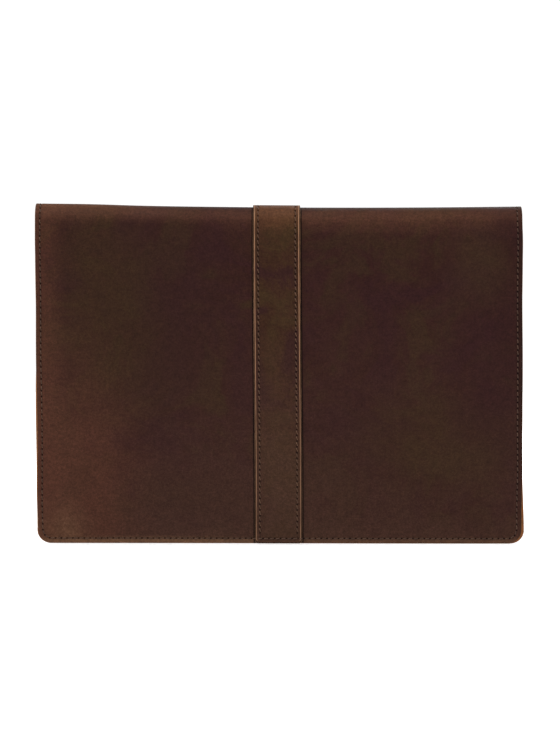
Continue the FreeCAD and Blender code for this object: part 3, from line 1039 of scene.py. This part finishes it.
LINING_CLOTH = (lining, "lining_cloth")
PADDING = (foam, "padding_foam")
LINE_EDGE = 1.2  # the flap's lining stops this far short of its edges
LINE_HALF = HALF - LINE_EDGE
LINE_LOW = ZC - 3.0  # and here on the back
flap_curve = FLAP_LONG - (S_TOP - ZC) - FINE_FROM
flap_cloth = cloth(
    "lining", LINE_HALF, LINE_EDGE, FLAP_LONG + OVER, FLAP_CORNER - 1, on_flap, LEATHER, LINING, LINING_CLOTH,
    flap_curve, S_END,
)
cloth_nodes = {"fold_cloth_front": ["fold_front_lining"], "flap_cloth": ["flap_lining"]}
cloth_front, flap_cloth = down_the_front(flap_cloth, cloth_nodes)
fold_cloth = cloth("lining", LINE_HALF, LINE_LOW, S_TOP + OVER, 1.0, hide, LEATHER, LINING, LINING_CLOTH, 0.0)
cloth_nodes = {"fold_cloth_low": ["fold_back_lining"], "fold_cloth_back": ["fold_top_lining"]}
cloth_low, cloth_back = up_the_back(fold_cloth, cloth_nodes)

# inside the seams: half-width, top and lower corners' radius of each layer
REAR_HALF, REAR_TOP, REAR_R = 167.5, ZC - 1.0, 9
FRONT_HALF, FRONT_TOP, FRONT_R = HALF - 12.4, MOUTH_Z - 1.0, 12
REAR_PAD_HALF, REAR_PAD_TOP = 169.5, ZC - 4.2
FRONT_PAD_HALF, FRONT_PAD_TOP, FRONT_PAD_R = HALF - 10.6, MOUTH_Z - 7.0, 13
IN_LINING = (LEATHER + FOAM, LINING, LINING_CLOTH)
IN_PADDING = (LEATHER + 0.02, FOAM - 0.04, PADDING)  # a hair clear of the leather and the lining
rear_cloth = cloth("rear_cloth", REAR_HALF, HALF - REAR_HALF, REAR_TOP, REAR_R, hide, *IN_LINING)
rear_foam = cloth("rear_foam", REAR_PAD_HALF, HALF - REAR_PAD_HALF, REAR_PAD_TOP, REAR_R, hide, *IN_PADDING)
front_cloth = cloth("front_cloth", FRONT_HALF, HALF - FRONT_HALF, FRONT_TOP, FRONT_R, tray, *IN_LINING)
front_foam = cloth(
    "front_foam", FRONT_PAD_HALF, HALF - FRONT_PAD_HALF, FRONT_PAD_TOP, FRONT_PAD_R, tray, *IN_PADDING,
)
carried(rear_cloth, "sleeve", "back_lining")
carried(rear_foam, "sleeve", "back_padding")
carried(front_cloth, "sleeve", "front_lining")
carried(front_foam, "sleeve", "front_padding")


# ---- stitches ----

def on_face(u, v):
    return 0.0


def on_lining(u, v):
    return LEATHER + LINING


def over_strap(u, v):
    """The bottom row climbs over the strap's end."""
    near = 1 - step(STRAP_HALF - 0.3, STRAP_HALF + 1.0, np.abs(u - STRAP_X))
    return -STRAP_T * near * (v < CORNER + 2)


def outside_strap(line):
    """A row's stretches either side of the strap, which hides its middle."""
    hidden = np.where(np.abs(line[:, 0] - STRAP_X) <= STRAP_HALF + 0.6)[0]
    return [line[:hidden[0]], line[hidden[-1] + 1:]]


def sew(name, rows, mat, slant, *nodes):
    """Rows of stitches that stand for these CAD nodes."""
    piece = stitches(name, rows, slant)
    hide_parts(*nodes)
    return paint(piece, mat, "thread")


def sew_edge(name, rows, *nodes):
    return sew(name, rows, thread, EDGE_SLANT, *nodes)


def sew_strap(name, rows, *nodes):
    return sew(name, rows, strap_thread, STRAP_SLANT, *nodes)


def both(stem):
    return stem + "_a", stem + "_b"


def back_edges(low, high):
    return [(r, hide, over_strap, 1) for r in between(seam_line, low, high)]


def back_strap(low, high):
    return [(r, strap_place, on_face, 1) for row in strap_rows_back for r in between(row, low, high)]


def flap_sides(low, high):
    """The flap's row, on the leather and on the lining."""
    outer = [(r, on_flap, on_face, 1) for half in outside_strap(flap_line) for r in between(half, low, high)]
    return outer + [(r, on_flap, on_lining, -1) for r in between(flap_line, low, high)]


def front_strap(low, high):
    return [(r, strap_front_place, on_face, 1) for r in between(strap_line, low, high)]


LOW_V, HIGH_V = S_LOW, S_END - S_HIGH  # where the hide is cut, up the back's sheet and up the flap's
STRAP_HIGH_V = HIGH_V + TONGUE_LONG  # the same cuts, up the front strap's sheet
STRAP_LOW_V = TONGUE_LONG + TONGUE_CUT - FLAP_Z
seam_rows = back_edges(0, LOW_V) + [(front_line, tray, on_face, 1)]
rear_rows = back_strap(0, LOW_V)
tongue_rows = front_strap(0, STRAP_LOW_V) + [(across_strap, strap_front_place, on_face, 1)]
rows_at_crease = [
    sew_edge("seam_stitches", seam_rows, "seam_thread", *both("fold_back_edge_thread")),
    sew_strap("strap_stitches_rear", rear_rows, *both("strap_thread_back"), *both("fold_back_strap_thread")),
    sew_edge("fold_stitches_back", back_edges(LOW_V, S_TOP), *both("fold_top_edge_thread")),
    sew_strap("fold_strap_stitches_back", back_strap(LOW_V, S_TOP), *both("fold_top_strap_thread")),
    sew_edge("fold_stitches_front", flap_sides(HIGH_V, FLAP_LONG), *both("fold_front_edge_thread")),
    sew_strap(
        "fold_strap_stitches_front", front_strap(STRAP_HIGH_V, STRAP_LONG), *both("fold_front_strap_thread"),
    ),
    sew_edge("flap_stitches", flap_sides(0, HIGH_V), *both("flap_thread")),
    sew_strap("strap_stitches_front", front_strap(STRAP_LOW_V, STRAP_HIGH_V), *both("strap_thread_front")),
]
for k, rows in enumerate(rows_at_crease):
    bend(rows)
bend_tongue(sew_strap("tongue_stitches", tongue_rows, "tongue_thread"))
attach(sew_edge("mouth_stitches", [(mouth_line, tray, on_face, 1)], "mouth_thread"), "sleeve")


# ---- snap ----

SEAT = YC - R - STRAP_T  # the strap's outer face
# the cap's profile as (radius, height off the strap): flat back, rolled rim, groove, then a low dome
CAP_PROFILE = [(0, -0.02), (5.9, -0.02), (6.15, 0.05), (6.25, 0.2), (6.2, 0.38), (6.0, 0.5)]
CAP_PROFILE += [(5.75, 0.52), (5.6, 0.47), (5.45, 0.5)]
DOME_R, DOME_FOOT, DOME_H = 5.4, 0.5, 0.75
dome_angles = [math.radians(d) for d in range(6, 88, 9)]
CAP_PROFILE += [(DOME_R * math.cos(a), DOME_FOOT + DOME_H * math.sin(a)) for a in dome_angles]
CAP_PROFILE += [(0, DOME_FOOT + DOME_H)]
cap = lathe("snap_button", [(r, SEAT - h) for r, h in CAP_PROFILE], SNAP_X, SNAP_Z)
carried(paint(cap, brass, "snap_brass"), "tongue", "snap_cap")
for name in ("snap_socket", "snap_stud", "snap_post"):
    for material_slot in frame["nodes"][name].material_slots:
        material_slot.material = brass


# ---- stage, light, camera ----

def area(name, place, look, size, energy):
    """A rectangular light at place, turned to look at a point."""
    data = bpy.data.lights.new(name, "AREA")
    data.shape = "RECTANGLE"
    data.size, data.size_y = size
    data.energy = energy
    obj = link(name, data)
    obj.location = place
    obj.rotation_euler = (Vector(look) - Vector(place)).to_track_quat("-Z", "Y").to_euler()


FLOOR_R = 14.0  # in metres, as all of the stage
FLOOR_Z = -0.0006


def floor():
    """Pale floor that fades to white away from the object and throws up little light."""
    t = Tree("studio_floor")
    t.set("Base Color", (0.9, 0.9, 0.9, 1))
    t.set("Roughness", 1.0)
    t.set("Specular IOR Level", 0.0)
    t.set("Emission Color", (1, 1, 1, 1))
    seen = t.nodes.new("ShaderNodeLightPath").outputs["Is Camera Ray"]
    glow = t.span(t.vec("LENGTH", t.objco()), 0.25, 1.2, 0.52, 1.05)
    t.set("Emission Strength", t.mix_value(seen, 0.1, glow))
    bm = bmesh.new()
    bmesh.ops.create_circle(bm, cap_ends=True, segments=96, radius=FLOOR_R)
    mesh = bpy.data.meshes.new("floor")
    bm.to_mesh(mesh)
    bm.free()
    obj = link("floor", mesh)
    obj.location.z = FLOOR_Z
    mesh.materials.append(t.mat)


def world():
    """White behind the object, with only a little light from all round."""
    w = bpy.data.worlds.new("studio")
    w.use_nodes = True
    nodes, links = w.node_tree.nodes, w.node_tree.links
    seen, lit = nodes["Background"], nodes.new("ShaderNodeBackground")
    for node, strength in ((seen, 1.05), (lit, 0.19)):
        node.inputs["Color"].default_value = (1, 1, 1, 1)
        node.inputs["Strength"].default_value = strength
    path, mix = nodes.new("ShaderNodeLightPath"), nodes.new("ShaderNodeMixShader")
    links.new(path.outputs["Is Camera Ray"], mix.inputs[0])
    links.new(lit.outputs[0], mix.inputs[1])
    links.new(seen.outputs[0], mix.inputs[2])
    links.new(mix.outputs[0], nodes["World Output"].inputs["Surface"])
    bpy.context.scene.world = w


floor()
world()
area("overhead", (0.8, 1.5, 3.4), (0, 0, 0.14), (2.6, 1.8), 90)
area("left", (3.0, 2.0, 0.9), (0, 0, 0.12), (1.4, 1.8), 22)
area("right", (-2.6, 2.6, 0.8), (0, 0, 0.12), (1.4, 1.8), 17)
area("flap_side", (-1.2, -2.2, 2.4), (0, 0, 0.12), (2.2, 1.6), 72)

view = bpy.context.scene.view_settings
view.view_transform = "Standard"
view.look = "None"

LENS, SENSOR = 110.0, 36.0  # the camera's, in millimetres
VIEW_TALL = 0.553  # height of the picture at the back panel
EYE_X, EYE_Z = -0.0010, 0.12625
camera = bpy.data.cameras.new("camera")
camera.lens = LENS
camera.sensor_width = SENSOR
camera.clip_end = 60
eye = link("camera", camera)
eye.location = (EYE_X, back_high[1] * MM + LENS / SENSOR * VIEW_TALL, EYE_Z)
eye.rotation_euler = (math.radians(90), 0, math.radians(180))
bpy.context.scene.camera = eye
